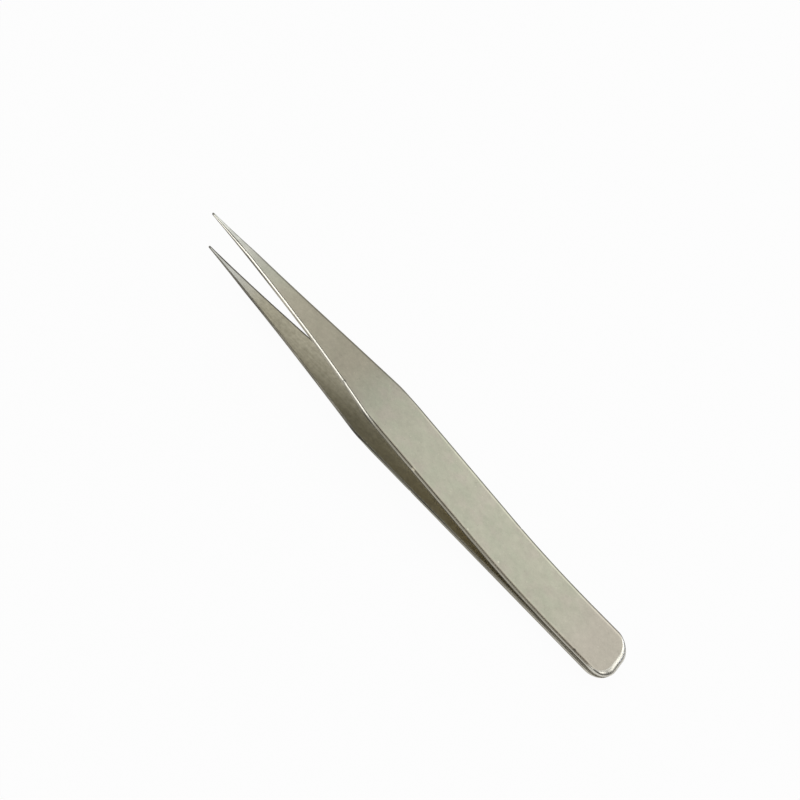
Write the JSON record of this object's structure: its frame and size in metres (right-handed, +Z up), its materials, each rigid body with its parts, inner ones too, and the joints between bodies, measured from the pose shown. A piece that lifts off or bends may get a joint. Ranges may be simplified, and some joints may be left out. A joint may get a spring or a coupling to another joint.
{
  "type": "precision tweezers",
  "caption": "Straight fine-pointed steel tweezers: satin blades welded face to face at a round rear end, sprung open, closing at the points when squeezed.",
  "frame": {"origin": "middle of the footprint on the surface that the lower blade lies on", "axes": "+X along the blades towards the welded rear end, so the points face -X; +Y across the width; +Z up, from the lower blade to the upper one"},
  "size_m": [0.115, 0.01, 0.0128],
  "materials": {
    "upper_blade": "satin nickel-plated steel, slightly warm grey",
    "lower_blade": "satin nickel-plated steel, slightly warm grey",
    "weld": "bare weld metal"
  },
  "bodies": {
    "rear_end": {"upper_blade_root": "upper_blade", "lower_blade_root": "lower_blade", "front_weld_spot": "weld", "rear_weld_spot": "weld"},
    "upper_arm": {"upper_blade_arm": "upper_blade", "upper_blade_point": "upper_blade"},
    "lower_arm": {"lower_blade_arm": "lower_blade", "lower_blade_point": "lower_blade"}
  },
  "joints": [
    {"name": "upper_blade_flex", "type": "hinge", "parent": "rear_end", "child": "upper_arm", "pos_m": [0.03324, 0, 0.00276], "axis": [0, -1, 0], "range_deg": [0, 2.97], "stiffness_Nm_per_rad": 7.1},
    {"name": "lower_blade_flex", "type": "hinge", "parent": "rear_end", "child": "lower_arm", "pos_m": [0.03315, 0, 0.00057], "axis": [0, 1, 0], "range_deg": [0, 2.97], "stiffness_Nm_per_rad": 7.1}
  ]
}
